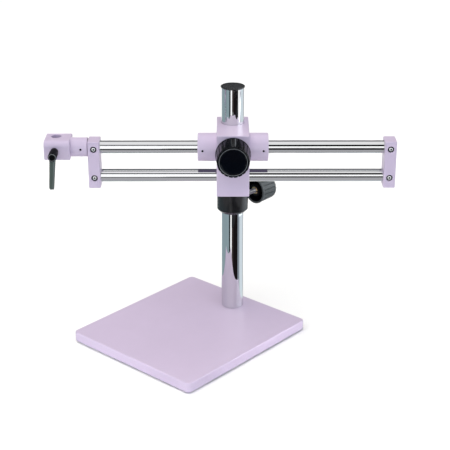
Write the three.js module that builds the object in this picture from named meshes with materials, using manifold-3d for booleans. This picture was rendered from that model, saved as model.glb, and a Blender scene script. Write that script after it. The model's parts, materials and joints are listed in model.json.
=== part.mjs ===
import * as THREE from "three";
import { mergeVertices } from "three/addons/utils/BufferGeometryUtils.js";
import Module from "manifold-3d";

// Dual-bar boom stand for a bench microscope, with no instrument on it.
// Millimetres, +Z up. The model is built round the post: the post's axis is x = y = 0 and the base
// plate's underside is z = 0. +X runs along the boom bars, and -Y is the side with the clamping lever.
// The last lines move the whole stand so that its origin is the middle of its box, on the table.

const wasm = await Module();
wasm.setup();

// Driving dimensions

const BASE = {
  depth: 280,
  width: 255,
  thickness: 16,
  corner: 7,
  bevel: 1.2,
  postInset: 36, // from the post's axis to the near edge
  turn: 48.4, // degrees between the plate's depth and the bars
};
const FOOT = { radius: 11, height: 4, pocket: 1.5, pocketRadius: 11.4, inset: 28 };
const POST = { radius: 18, bore: 14.5, length: 380, plugHeight: 36 };
const POST_BOLT = {
  radius: 5,
  headRadius: 8,
  headHeight: 7,
  socketRadius: 4.6,
  socketDepth: 4,
  top: 44,
  counterbore: 10,
  counterboreRadius: 14,
  washerRadius: 12,
  washerHeight: 2,
};
const CAP = { radius: 19.2, rim: 2.1, stemRadius: 14.3, stemLength: 20, wall: 2.5 };
const COLLAR = { radius: 25.2, bottom: 187, top: 237, chamfer: 5.2 };
const THRUST_WASHER = { radius: 24.5, height: 1.1 };
const CARRIER = {
  width: 51,
  front: -70.5,
  back: 29.5,
  bottom: 238.4,
  top: 338.4,
  corner: 1.6,
  bevel: 1.2,
};
const BOOM = { y: -45, upperZ: 312.5, lowerZ: 265.5, barRadius: 10 };
const HOUSING = { radius: 22, halfLength: 55, bore: 16.1 };
const BEARING = { radius: 16, length: 41.6, endInset: 0.8 };
const GUIDE_BUSH = { radius: 13, length: 12 };
const BRACKET = {
  thickness: 18.5,
  depth: 30,
  bottom: 249,
  top: 325,
  corner: 2,
  bevel: 1.2,
  leftX: -226,
  rightX: 236,
  blindWall: 3, // left standing behind a bar's end
};
const BAR_SCREW = {
  radius: 3,
  headRadius: 4.6,
  headHeight: 4.2,
  recess: 0.6,
  counterboreRadius: 5.1,
  socketRadius: 2.9,
  socketDepth: 2.6,
  bite: 9, // how far the tip goes into the bar
};
const HEAD = {
  left: -293,
  right: -252.5,
  front: -65.5,
  back: -22.5,
  bottom: 297.8,
  top: 327.3,
  nose: 9,
  edge: 2,
  bevel: 1.2,
};
const NECK = { radius: 15, washer: 0.4, washerRadius: 13.5, barDepth: 24 };
const PIN_BORE = { x: -276, y: -37.4, radius: 8.1 };
const LEVER = {
  hubRadius: 6.7,
  hubLength: 31,
  frontBore: 4.8,
  shoulder: [18, 20], // a ring inside the hub that the spring pushes on
  coreRadius: 5.4,
  coreFront: 17.8,
  screwHead: [27.4, 30],
  screwHeadRadius: 4.3,
  screwRadius: 1.9,
  armWidth: 8.6,
  armRoot: 25,
  tipOut: 52,
  tipDown: 43.5,
};
const SPRING = { wire: 0.45, radius: 3.5, turns: 4 };
const SET_SCREW = { radius: 1.75, recess: 1, housingX: 47.3, neckX: -236.7 };

const RUNNING = 0.3; // radial clearance round the post
const SLIDING = 0.15; // radial clearance round the bars and the small turned pieces
const FACE = 0.15; // gap left between faces that rest on each other
const THROUGH = 1; // how far a cutting tool runs past the face it opens
const STUD_RADIUS = 4; // M8 studs for the knobs and the lever
const STUD_HOLE = STUD_RADIUS + 0.3;

const ROUND = 24; // sides of an ordinary round piece
const SMOOTH = 40; // sides of the post and what fits round it
const SMALL = 12; // sides of screws, studs and their holes

// A knob set is drawn along +X: its rim is at x = 0, and the pad and the stud's tip lie at negative x.
const LARGE_KNOB = { rim: 27.8, nose: 24.8, length: 36.7, flutes: 20, padRadius: 5, padLength: 5.4 };
const SMALL_KNOB = { rim: 22.4, nose: 19.4, length: 34, flutes: 18, padRadius: STUD_RADIUS, padLength: 3 };
const KNOB_CUP = { wall: 3.2, web: 6.2, dish: 2.4, lip: 2.6, faceDrop: 1.1, fluteDepth: 1.3 };
const KNOB_BOSS = { radius: 10, back: 2.5, bushRadius: 6.2, bushBack: 1, bushDepth: 9, studDepth: 13 };
const BOOM_LOCK = { y: -71.8, z: 308.6, padTip: -16.6 };
const COLLAR_LOCK = { reach: 48.7, z: 209, turn: 43 };
const SWIVEL_LOCK = { reach: 31.2, z: 288 };
const POST_PAD_GAP = 0.2; // between the post and the pads that press on it

// Finishes

const finish = (color, roughness, metalness) =>
  new THREE.MeshStandardMaterial({ color, roughness, metalness });
const lilacPaint = finish(0xcdbfdc, 0.45, 0);
const chrome = finish(0xdfe3e6, 0.06, 1);
const steel = finish(0xa9adb0, 0.3, 1);
const brass = finish(0xb08d4c, 0.3, 1);
const blackPlastic = finish(0x17181a, 0.4, 0);
const blackAnodised = finish(0x202225, 0.35, 0.6);
const darkGreenPlastic = finish(0x3d4b47, 0.5, 0);
const rubber = finish(0x1c1c1c, 0.85, 0);
const nylon = finish(0xe6e4da, 0.5, 0);

// Solids: joining and cutting

function asSolid(geometry) {
  const bare = geometry.index ? geometry.toNonIndexed() : geometry.clone();
  bare.deleteAttribute("normal");
  bare.deleteAttribute("uv");
  const merged = mergeVertices(bare, 1e-4);
  const triVerts = new Uint32Array(merged.index.array);
  const vertProperties = merged.attributes.position.array;
  return new wasm.Manifold(new wasm.Mesh({ numProp: 3, vertProperties, triVerts }));
}

function asGeometry(solid) {
  const { vertProperties, triVerts } = solid.getMesh();
  return new THREE.BufferGeometry()
    .setAttribute("position", new THREE.BufferAttribute(vertProperties, 3))
    .setIndex(new THREE.BufferAttribute(triVerts, 1));
}

function join(first, ...others) {
  return asGeometry(others.reduce((sum, other) => sum.add(asSolid(other)), asSolid(first)));
}

function cut(body, ...tools) {
  return asGeometry(tools.reduce((rest, tool) => rest.subtract(asSolid(tool)), asSolid(body)));
}

// Solids: basic shapes, each drawn about +Z and then laid along another axis

// Revolves [radius, z] points, listed from the underside outwards and up, about +Z.
function revolve(outline, segments = ROUND) {
  const points = outline.map(([radius, z]) => new THREE.Vector2(radius, z));
  return new THREE.LatheGeometry(points, segments).rotateX(Math.PI / 2);
}

function rod(radius, from, to, { chamfer = 0, segments = ROUND } = {}) {
  const end = chamfer
    ? [
        [radius - chamfer, from],
        [radius, from + chamfer],
        [radius, to - chamfer],
        [radius - chamfer, to],
      ]
    : [
        [radius, from],
        [radius, to],
      ];
  return revolve([[0, from], ...end, [0, to]], segments);
}

function ring(inner, outer, from, to, { chamfer = 0, segments = ROUND } = {}) {
  const start = [inner, from];
  const outside = chamfer
    ? [
        [outer - chamfer, from],
        [outer, from + chamfer],
        [outer, to - chamfer],
        [outer - chamfer, to],
      ]
    : [
        [outer, from],
        [outer, to],
      ];
  return revolve([start, ...outside, [inner, to], start], segments);
}

const alongX = (geometry) => geometry.rotateY(Math.PI / 2);
const alongFront = (geometry) => geometry.rotateX(Math.PI / 2); // +Z becomes -Y
const alongBack = (geometry) => geometry.rotateX(-Math.PI / 2); // +Z becomes +Y

// A block that stands on z = 0 with its middle on the axis: round upright corners, bevelled rims.
function block(sizeX, sizeY, height, corner, bevel) {
  const halfX = sizeX / 2 - bevel;
  const halfY = sizeY / 2 - bevel;
  const radius = corner - bevel;
  const outline = new THREE.Shape();
  outline.absarc(halfX - radius, halfY - radius, radius, 0, Math.PI / 2);
  outline.absarc(radius - halfX, halfY - radius, radius, Math.PI / 2, Math.PI);
  outline.absarc(radius - halfX, radius - halfY, radius, Math.PI, 1.5 * Math.PI);
  outline.absarc(halfX - radius, radius - halfY, radius, 1.5 * Math.PI, 2 * Math.PI);
  return new THREE.ExtrudeGeometry(outline, {
    depth: height - 2 * bevel,
    bevelThickness: bevel,
    bevelSize: bevel,
    bevelSegments: 1,
    curveSegments: 4,
  }).translate(0, 0, bevel);
}

// Presses flutes into the outside of a revolved shape between two heights.
function flute(geometry, count, depth, insideRadius, from, to) {
  const position = geometry.attributes.position;
  for (let i = 0; i < position.count; i++) {
    const x = position.getX(i);
    const y = position.getY(i);
    const z = position.getZ(i);
    const radius = Math.hypot(x, y);
    if (z < from || z > to || radius < insideRadius) continue;
    const groove = 0.5 - 0.5 * Math.cos(count * Math.atan2(y, x));
    const scale = 1 - (depth * groove) / radius;
    position.setXY(i, x * scale, y * scale);
  }
  return geometry;
}

// Scene graph

function addMesh(group, name, geometry, material) {
  const mesh = new THREE.Mesh(geometry, material);
  mesh.name = name;
  group.add(mesh);
  return mesh;
}

const stand = new THREE.Group();

// Base plate, feet and the post with what holds it

function addBase() {
  const base = new THREE.Group();
  base.rotation.z = THREE.MathUtils.degToRad(BASE.turn);
  stand.add(base);

  const middleX = BASE.postInset - BASE.depth / 2;
  const footPlaces = [];
  for (const sideX of [-1, 1])
    for (const sideY of [-1, 1])
      footPlaces.push([
        middleX + sideX * (BASE.depth / 2 - FOOT.inset),
        sideY * (BASE.width / 2 - FOOT.inset),
      ]);

  const slab = block(BASE.depth, BASE.width, BASE.thickness, BASE.corner, BASE.bevel);
  const pockets = footPlaces.map(([x, y]) =>
    rod(FOOT.pocketRadius, -THROUGH, FOOT.pocket, { segments: SMALL }).translate(x, y, 0),
  );
  const plate = cut(
    slab.translate(middleX, 0, 0),
    rod(POST_BOLT.counterboreRadius, -THROUGH, POST_BOLT.counterbore),
    rod(POST_BOLT.radius + 0.5, 0, BASE.thickness + THROUGH),
    ...pockets,
  );
  addMesh(base, "base_plate", plate, lilacPaint);

  const footBottom = FOOT.pocket - FACE - FOOT.height;
  footPlaces.forEach(([x, y], i) => {
    const pad = rod(FOOT.radius, footBottom, FOOT.pocket - FACE, { chamfer: 0.6, segments: SMALL });
    addMesh(base, `foot_${i + 1}`, pad.translate(x, y, 0), rubber);
  });
}

function addPost() {
  const foot = BASE.thickness + FACE;
  const top = BASE.thickness + POST.length;
  const tube = ring(POST.bore, POST.radius, foot, top, { chamfer: 0.6, segments: SMOOTH });
  addMesh(stand, "post", tube, chrome);

  const boltHole = POST_BOLT.radius + SLIDING;
  const plug = ring(boltHole, POST.bore - SLIDING, foot, foot + POST.plugHeight, { chamfer: 1 });
  addMesh(stand, "post_plug", plug, steel);

  const washerTop = POST_BOLT.counterbore - FACE;
  const washerFoot = washerTop - POST_BOLT.washerHeight;
  const washer = ring(POST_BOLT.radius + 0.4, POST_BOLT.washerRadius, washerFoot, washerTop);
  addMesh(stand, "post_washer", washer, steel);

  const headTop = washerFoot - FACE;
  const headBottom = headTop - POST_BOLT.headHeight;
  const bolt = join(
    rod(POST_BOLT.headRadius, headBottom, headTop, { chamfer: 0.5 }),
    rod(POST_BOLT.radius, headTop - 1, POST_BOLT.top, { chamfer: 0.8, segments: SMALL }),
  );
  const socketTop = headBottom + POST_BOLT.socketDepth;
  const socket = rod(POST_BOLT.socketRadius, headBottom - THROUGH, socketTop, { segments: 6 });
  addMesh(stand, "post_bolt", cut(bolt, socket), steel);

  const capFoot = top + FACE;
  const stemFoot = capFoot - CAP.stemLength;
  const stemBore = CAP.stemRadius - CAP.wall;
  const cap = revolve([
    [0, capFoot - 1],
    [stemBore, capFoot - 1],
    [stemBore, stemFoot],
    [CAP.stemRadius - 0.5, stemFoot],
    [CAP.stemRadius, stemFoot + 1],
    [CAP.stemRadius, capFoot],
    [CAP.radius - 0.2, capFoot],
    [CAP.radius, capFoot + 0.4],
    [CAP.radius, capFoot + CAP.rim - 0.7],
    [CAP.radius - 0.7, capFoot + CAP.rim],
    [0, capFoot + CAP.rim],
  ]);
  addMesh(stand, "post_cap", cap, blackPlastic);
}

// A clamping knob: fluted cup, face disc, brass bush, stud and the pad that the stud pushes.
// The group's +X is the knob's axis, pointing out of the piece it clamps.

function addKnobSet(prefix, size, padTip, group) {
  const { rim, nose, length, flutes, padRadius, padLength } = size;
  const webBack = length - KNOB_CUP.web; // inside of the cup's front wall
  const dishFloor = length - KNOB_CUP.dish; // the face disc lies in a dish in the nose
  const dishRadius = nose - KNOB_CUP.lip;
  const bushFront = length - KNOB_BOSS.bushDepth;
  const studEnd = length - KNOB_BOSS.studDepth;

  const outside = revolve(
    [
      [0, 0],
      [rim, 0],
      [rim - 0.2, 3],
      [rim - 0.4, 4.2],
      [nose + 0.6, length - 5],
      [nose + 0.4, length - 3.8],
      [nose, length - 0.8],
      [nose - 0.8, length],
      [0, length],
    ],
    flutes * 2,
  );
  const hollow = revolve([
    [KNOB_BOSS.radius, -THROUGH],
    [rim - KNOB_CUP.wall, -THROUGH],
    [rim - KNOB_CUP.wall, 0],
    [nose - KNOB_CUP.wall - 1, webBack],
    [KNOB_BOSS.radius, webBack],
    [KNOB_BOSS.radius, -THROUGH],
  ]);
  const knob = cut(
    flute(outside, flutes, KNOB_CUP.fluteDepth, nose - 0.5, 3.5, length - 4.5),
    hollow,
    rod(KNOB_BOSS.radius + THROUGH, -THROUGH, KNOB_BOSS.back),
    rod(KNOB_BOSS.bushRadius + SLIDING, 0, bushFront),
    rod(dishRadius, dishFloor, length + THROUGH),
  );
  addMesh(group, `${prefix}_knob`, alongX(knob), blackPlastic);

  const disc = rod(dishRadius - FACE, dishFloor + FACE, length - KNOB_CUP.faceDrop);
  addMesh(group, `${prefix}_face`, alongX(disc), blackPlastic);

  const bush = cut(
    rod(KNOB_BOSS.bushRadius, KNOB_BOSS.bushBack, bushFront - FACE),
    rod(STUD_RADIUS + SLIDING, KNOB_BOSS.bushBack - THROUGH, studEnd + FACE),
  );
  addMesh(group, `${prefix}_bush`, alongX(bush), brass);

  const padBack = padTip + padLength;
  const stud = rod(STUD_RADIUS, padBack + FACE, studEnd, { chamfer: 0.6, segments: SMALL });
  addMesh(group, `${prefix}_stud`, alongX(stud), steel);

  const pad = rod(padRadius, padTip, padBack, { segments: SMALL });
  addMesh(group, `${prefix}_pad`, alongX(pad), brass);
}

// Collar that carries the boom's weight on the post

function addCollar() {
  const bore = POST.radius + RUNNING;
  const shell = revolve(
    [
      [bore, COLLAR.bottom],
      [COLLAR.radius - COLLAR.chamfer, COLLAR.bottom],
      [COLLAR.radius, COLLAR.bottom + COLLAR.chamfer],
      [COLLAR.radius, COLLAR.top - 0.6],
      [COLLAR.radius - 0.6, COLLAR.top],
      [bore, COLLAR.top],
      [bore, COLLAR.bottom],
    ],
    SMOOTH,
  );
  const lockTurn = THREE.MathUtils.degToRad(COLLAR_LOCK.turn);
  const lockHole = alongX(rod(STUD_HOLE, 10, COLLAR.radius + 5, { segments: SMALL }))
    .rotateZ(lockTurn)
    .translate(0, 0, COLLAR_LOCK.z);
  addMesh(stand, "collar", cut(shell, lockHole), blackAnodised);

  const washerFoot = COLLAR.top + FACE;
  const washer = ring(bore, THRUST_WASHER.radius, washerFoot, washerFoot + THRUST_WASHER.height);
  addMesh(stand, "thrust_washer", washer, nylon);

  const lock = new THREE.Group();
  lock.rotation.z = lockTurn;
  lock.position.set(
    COLLAR_LOCK.reach * Math.cos(lockTurn),
    COLLAR_LOCK.reach * Math.sin(lockTurn),
    COLLAR_LOCK.z,
  );
  stand.add(lock);
  addKnobSet("collar_lock", SMALL_KNOB, POST.radius + POST_PAD_GAP - COLLAR_LOCK.reach, lock);
}

// Carrier: a block on the post with a round housing for the upper bar's bearings

function addCarrier() {
  const depth = CARRIER.back - CARRIER.front;
  const height = CARRIER.top - CARRIER.bottom;
  const bodyBlock = block(CARRIER.width, depth, height, CARRIER.corner, CARRIER.bevel);
  bodyBlock.translate(0, (CARRIER.front + CARRIER.back) / 2, CARRIER.bottom);
  const atBar = (geometry, z) => geometry.translate(0, BOOM.y, z);
  const housingEnd = { chamfer: 0.8, segments: SMOOTH };
  const housing = rod(HOUSING.radius, -HOUSING.halfLength, HOUSING.halfLength, housingEnd);

  const housingReach = HOUSING.halfLength + THROUGH;
  const halfWidth = CARRIER.width / 2;
  const bushPocket = (side) => {
    const inner = side * (halfWidth - GUIDE_BUSH.length - FACE);
    const outer = side * (halfWidth + THROUGH);
    return rod(GUIDE_BUSH.radius + SLIDING, Math.min(inner, outer), Math.max(inner, outer));
  };
  const housingFront = BOOM.y - HOUSING.radius;
  const screwHoleFrom = -BOOM.y + HOUSING.bore - THROUGH;
  const housingScrewHole = (x) => {
    const screwHoleTo = THROUGH - housingFront;
    const hole = rod(SET_SCREW.radius + SLIDING, screwHoleFrom, screwHoleTo, { segments: SMALL });
    return alongFront(hole).translate(x, 0, BOOM.upperZ);
  };
  const padRoom = { from: 50, to: 66 }; // out from the post's axis to the pocket's floor
  const padPocket = alongFront(rod(LARGE_KNOB.padRadius + 0.6, padRoom.from, padRoom.to));
  const boomLockHole = alongFront(rod(STUD_HOLE, 60, THROUGH - CARRIER.front, { segments: SMALL }));
  const swivelLockHole = alongBack(rod(STUD_HOLE, 10, CARRIER.back + THROUGH, { segments: SMALL }));

  const carrier = cut(
    join(bodyBlock, atBar(alongX(housing), BOOM.upperZ)),
    rod(POST.radius + RUNNING, CARRIER.bottom - THROUGH, CARRIER.top + THROUGH, { segments: SMOOTH }),
    atBar(alongX(rod(HOUSING.bore, -housingReach, housingReach)), BOOM.upperZ),
    atBar(alongX(rod(BOOM.barRadius + 1, -halfWidth, halfWidth)), BOOM.lowerZ),
    atBar(alongX(bushPocket(-1)), BOOM.lowerZ),
    atBar(alongX(bushPocket(1)), BOOM.lowerZ),
    padPocket.translate(0, 0, BOOM_LOCK.z),
    boomLockHole.translate(0, 0, BOOM_LOCK.z),
    swivelLockHole.translate(0, 0, SWIVEL_LOCK.z),
    housingScrewHole(-SET_SCREW.housingX),
    housingScrewHole(SET_SCREW.housingX),
  );
  addMesh(stand, "carrier_block", carrier, lilacPaint);

  const barBore = BOOM.barRadius + SLIDING;
  for (const [side, sign] of [["left", -1], ["right", 1]]) {
    const bearingOuter = HOUSING.halfLength - BEARING.endInset;
    const bearingInner = bearingOuter - BEARING.length;
    const bearing = ring(barBore, BEARING.radius, bearingInner, bearingOuter, { chamfer: 0.5 });
    const bushOuter = halfWidth - FACE;
    const bush = ring(barBore, GUIDE_BUSH.radius, bushOuter - GUIDE_BUSH.length + FACE, bushOuter);
    const turned = sign < 0 ? Math.PI : 0;
    const bearingPlace = atBar(alongX(bearing).rotateZ(turned), BOOM.upperZ);
    addMesh(stand, `linear_bearing_${side}`, bearingPlace, steel);
    addMesh(stand, `guide_bush_${side}`, atBar(alongX(bush).rotateZ(turned), BOOM.lowerZ), brass);
    const screwTip = BEARING.radius - BOOM.y + FACE;
    const screwEnd = -housingFront - SET_SCREW.recess;
    const screw = rod(SET_SCREW.radius, screwTip, screwEnd, { segments: SMALL });
    addMesh(
      stand,
      `bearing_screw_${side}`,
      alongFront(screw).translate(sign * SET_SCREW.housingX, 0, BOOM.upperZ),
      blackAnodised,
    );
  }

  const boomLock = new THREE.Group();
  boomLock.rotation.z = -Math.PI / 2;
  boomLock.position.set(0, BOOM_LOCK.y, BOOM_LOCK.z);
  stand.add(boomLock);
  addKnobSet("boom_lock", LARGE_KNOB, BOOM_LOCK.padTip, boomLock);

  const swivelLock = new THREE.Group();
  swivelLock.rotation.z = Math.PI / 2;
  swivelLock.position.set(0, SWIVEL_LOCK.reach, SWIVEL_LOCK.z);
  stand.add(swivelLock);
  const swivelPadTip = POST.radius + POST_PAD_GAP - SWIVEL_LOCK.reach;
  addKnobSet("swivel_lock", SMALL_KNOB, swivelPadTip, swivelLock);
}

// Boom: two bars held apart by an end bracket on each side

function addBoom() {
  const levels = { upper: BOOM.upperZ, lower: BOOM.lowerZ };
  const bracketFront = BOOM.y - BRACKET.depth / 2;
  const leftEnd = BRACKET.leftX + BRACKET.blindWall;
  const rightEnd = BRACKET.rightX + BRACKET.thickness - BRACKET.blindWall;
  const neckEnd = BRACKET.leftX - NECK.barDepth;
  const barStart = { upper: neckEnd, lower: leftEnd };
  const screwX = {
    left: BRACKET.leftX + BRACKET.thickness / 2,
    right: BRACKET.rightX + BRACKET.thickness / 2,
  };
  const shankTip = -BOOM.y + BOOM.barRadius - BAR_SCREW.bite;
  const headFront = -bracketFront - BAR_SCREW.recess;

  for (const [level, z] of Object.entries(levels)) {
    const start = barStart[level] + FACE;
    const bar = alongX(rod(BOOM.barRadius, start, rightEnd - FACE, { chamfer: 0.8 }));
    const holeFrom = shankTip - THROUGH;
    const screwHoles = Object.values(screwX).map((x) => {
      const hole = rod(BAR_SCREW.radius + SLIDING, holeFrom, -bracketFront, { segments: SMALL });
      return alongFront(hole).translate(x, 0, 0);
    });
    const drilled = cut(bar.translate(0, BOOM.y, 0), ...screwHoles);
    addMesh(stand, `${level}_bar`, drilled.translate(0, 0, z), chrome);
  }

  for (const [side, x] of [["left", BRACKET.leftX], ["right", BRACKET.rightX]]) {
    const height = BRACKET.top - BRACKET.bottom;
    const body = block(BRACKET.thickness, BRACKET.depth, height, BRACKET.corner, BRACKET.bevel);
    body.translate(x + BRACKET.thickness / 2, BOOM.y, BRACKET.bottom);
    const tools = [];
    for (const [level, z] of Object.entries(levels)) {
      const through = side === "left" && level === "upper";
      const from = side === "left" && !through ? leftEnd : x - THROUGH;
      const to = side === "left" ? x + BRACKET.thickness + THROUGH : rightEnd;
      tools.push(alongX(rod(BOOM.barRadius + SLIDING, from, to)).translate(0, BOOM.y, z));
      const headRoom = headFront - BAR_SCREW.headHeight - FACE;
      const shankHole = rod(BAR_SCREW.radius + SLIDING, shankTip, -bracketFront, { segments: SMALL });
      const headHole = rod(BAR_SCREW.counterboreRadius, headRoom, THROUGH - bracketFront);
      tools.push(alongFront(shankHole).translate(screwX[side], 0, z));
      tools.push(alongFront(headHole).translate(screwX[side], 0, z));
    }
    addMesh(stand, `end_bracket_${side}`, cut(body, ...tools), lilacPaint);

    for (const [level, z] of Object.entries(levels)) {
      const headFoot = headFront - BAR_SCREW.headHeight;
      const socketFloor = headFront - BAR_SCREW.socketDepth;
      const screw = cut(
        join(
          rod(BAR_SCREW.headRadius, headFoot, headFront, { chamfer: 0.5 }),
          rod(BAR_SCREW.radius, shankTip, headFoot + 1, { chamfer: 0.4, segments: SMALL }),
        ),
        rod(BAR_SCREW.socketRadius, socketFloor, headFront + THROUGH, { segments: 6 }),
      );
      alongFront(screw).translate(screwX[side], 0, z);
      addMesh(stand, `bar_screw_${side}_${level}`, screw, chrome);
    }
  }
}

// Head: the block that grips the instrument's pin, turning on the upper bar's end

function addHead() {
  const { left, right, front, back, bottom, top, nose, edge, bevel } = HEAD;
  const profile = new THREE.Shape();
  const corner = (y, z, radius, fromAngle) =>
    profile.absarc(y, z, radius - bevel, fromAngle, fromAngle + Math.PI / 2);
  corner(back - edge, top - edge, edge, 0);
  corner(front + nose, top - nose, nose, Math.PI / 2);
  corner(front + edge, bottom + edge, edge, Math.PI);
  corner(back - edge, bottom + edge, edge, 1.5 * Math.PI);
  // The profile lies in the YZ plane and is swept along X.
  const sweep = new THREE.Matrix4().makeBasis(
    new THREE.Vector3(0, 1, 0),
    new THREE.Vector3(0, 0, 1),
    new THREE.Vector3(1, 0, 0),
  );
  const jaw = new THREE.ExtrudeGeometry(profile, {
    depth: right - left - 2 * bevel,
    bevelThickness: bevel,
    bevelSize: bevel,
    bevelSegments: 1,
    curveSegments: 6,
  }).applyMatrix4(sweep);
  jaw.translate(left + bevel, 0, 0);

  const neckEnd = BRACKET.leftX - NECK.washer - 2 * FACE;
  const neck = alongX(rod(NECK.radius, right - 6, neckEnd, { chamfer: 0.5 }));
  const barEnd = BRACKET.leftX - NECK.barDepth;
  const neckFront = -BOOM.y + NECK.radius;
  const barFront = -BOOM.y + BOOM.barRadius;
  const screwHole = rod(SET_SCREW.radius + SLIDING, barFront - 3, neckFront + 2, { segments: SMALL });
  const studHole = rod(STUD_HOLE, -PIN_BORE.y, THROUGH - front, { segments: SMALL });
  const head = cut(
    join(jaw, neck.translate(0, BOOM.y, BOOM.upperZ)),
    alongX(rod(BOOM.barRadius + SLIDING, barEnd, neckEnd + THROUGH)).translate(0, BOOM.y, BOOM.upperZ),
    rod(PIN_BORE.radius, bottom - THROUGH, top + THROUGH).translate(PIN_BORE.x, PIN_BORE.y, 0),
    alongFront(studHole).translate(PIN_BORE.x, 0, BOOM.upperZ),
    alongFront(screwHole).translate(SET_SCREW.neckX, 0, BOOM.upperZ),
  );
  addMesh(stand, "pin_head", head, lilacPaint);

  const washerEnd = BRACKET.leftX - FACE;
  const washerStart = washerEnd - NECK.washer;
  const washer = alongX(ring(BOOM.barRadius + SLIDING, NECK.washerRadius, washerStart, washerEnd));
  addMesh(stand, "neck_washer", washer.translate(0, BOOM.y, BOOM.upperZ), blackPlastic);

  const screwEnd = neckFront - SET_SCREW.recess;
  const neckScrew = alongFront(rod(SET_SCREW.radius, barFront + 0.2, screwEnd, { segments: SMALL }));
  addMesh(stand, "neck_screw", neckScrew.translate(SET_SCREW.neckX, 0, BOOM.upperZ), blackAnodised);
}

// Clamping lever: drawn with +Z out of the head's front face, then laid along -Y. The handle turns
// the stud through a splined core, and can be pulled out against its spring and set at another angle.

function addLever() {
  const lever = new THREE.Group();
  lever.position.set(PIN_BORE.x, HEAD.front, BOOM.upperZ);
  stand.add(lever);

  const padTip = HEAD.front - (PIN_BORE.y - PIN_BORE.radius) + 0.8; // just short of the pin's bore
  const padBack = padTip + 5;
  const { shoulder, coreRadius, coreFront, screwHead, screwHeadRadius, screwRadius } = LEVER;

  const pad = rod(STUD_RADIUS, padTip, padBack, { chamfer: 0.3, segments: SMALL });
  addMesh(lever, "clamp_pad", alongFront(pad), brass);

  const stud = cut(
    rod(STUD_RADIUS, padBack + FACE, coreFront - 0.5, { chamfer: 0.5 }),
    rod(screwRadius + 0.2, 7, coreFront + THROUGH, { segments: SMALL }),
  );
  addMesh(lever, "clamp_stud", alongFront(stud), steel);

  const core = ring(STUD_RADIUS + SLIDING, coreRadius, 0.8, coreFront, { chamfer: 0.4, segments: SMALL });
  addMesh(lever, "lever_core", alongFront(core), steel);

  const retainer = cut(
    join(
      rod(screwHeadRadius, ...screwHead, { chamfer: 0.3, segments: SMALL }),
      rod(screwRadius, 8, screwHead[0] + 1, { chamfer: 0.3, segments: SMALL }),
    ),
    rod(2.3, screwHead[1] - 1.5, screwHead[1] + THROUGH, { segments: 6 }),
  );
  addMesh(lever, "lever_screw", alongFront(retainer), steel);

  const spring = leverSpring(shoulder[1] + 0.1, screwHead[0] - 0.1);
  addMesh(lever, "lever_spring", alongFront(spring), steel);

  const hub = revolve(
    [
      [0, 2.4],
      [LEVER.hubRadius - 1.4, 2.4],
      [LEVER.hubRadius - 0.6, 4],
      [LEVER.hubRadius, 12],
      [LEVER.hubRadius, LEVER.hubLength - 0.8],
      [LEVER.hubRadius - 0.8, LEVER.hubLength],
      [0, LEVER.hubLength],
    ],
    32,
  );
  const handle = cut(
    join(alongFront(hub), leverArm()),
    alongFront(rod(coreRadius + SLIDING, 1, shoulder[0], { segments: SMALL })),
    alongFront(rod(screwRadius + 0.4, shoulder[0] - 1, shoulder[1] + 1, { segments: SMALL })),
    alongFront(rod(LEVER.frontBore, shoulder[1], LEVER.hubLength + THROUGH)),
  );
  addMesh(lever, "lever_handle", handle, darkGreenPlastic);
}

// The arm leaves the hub's outer end and slopes out and down to a rounded tip.
function leverArm() {
  const bevel = 1.4;
  const tip = new THREE.Vector2(LEVER.tipOut, -LEVER.tipDown);
  const root = new THREE.Vector2(LEVER.armRoot, 0);
  const along = tip.clone().sub(root).normalize();
  const across = new THREE.Vector2(-along.y, along.x);
  const at = (start, onward, sideways) =>
    start.clone().addScaledVector(along, onward).addScaledVector(across, sideways);
  const outline = new THREE.Shape([
    at(root, 1, 2.6),
    at(root, 1, -2.6),
    at(tip, -6, -2.2),
    at(tip, -2, -1.4),
    at(tip, -bevel, 0),
    at(tip, -2, 1.4),
    at(tip, -6, 2.2),
  ].reverse());
  const arm = new THREE.ExtrudeGeometry(outline, {
    depth: LEVER.armWidth - 2 * bevel,
    bevelThickness: bevel,
    bevelSize: bevel,
    bevelSegments: 2,
  }).translate(0, 0, bevel - LEVER.armWidth / 2);
  // The outline's x is the way out (-Y) and its y is up (+Z), so the sweep runs along -X.
  const outAndUp = new THREE.Matrix4().makeBasis(
    new THREE.Vector3(0, -1, 0),
    new THREE.Vector3(0, 0, 1),
    new THREE.Vector3(-1, 0, 0),
  );
  return arm.applyMatrix4(outAndUp);
}

function leverSpring(from, to) {
  const { wire, radius, turns } = SPRING;
  const steps = turns * 8;
  const points = [];
  for (let i = 0; i <= steps; i++) {
    const angle = (i / steps) * turns * 2 * Math.PI;
    const z = from + wire + ((to - from - 2 * wire) * i) / steps;
    points.push(new THREE.Vector3(radius * Math.cos(angle), radius * Math.sin(angle), z));
  }
  const section = new THREE.Shape().absarc(0, 0, wire, 0, 2 * Math.PI);
  return new THREE.ExtrudeGeometry(section, {
    steps,
    curveSegments: 2,
    bevelEnabled: false,
    extrudePath: new THREE.CatmullRomCurve3(points),
  });
}

addBase();
addPost();
addCollar();
addCarrier();
addBoom();
addHead();
addLever();

// Puts the origin at the middle of the stand's box, on the table.
const box = new THREE.Box3().setFromObject(stand, true);
const middle = box.getCenter(new THREE.Vector3());
stand.position.set(-middle.x, -middle.y, -box.min.z);

export default stand;
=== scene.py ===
import json
import math

import bpy
from mathutils import Matrix, Vector


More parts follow.
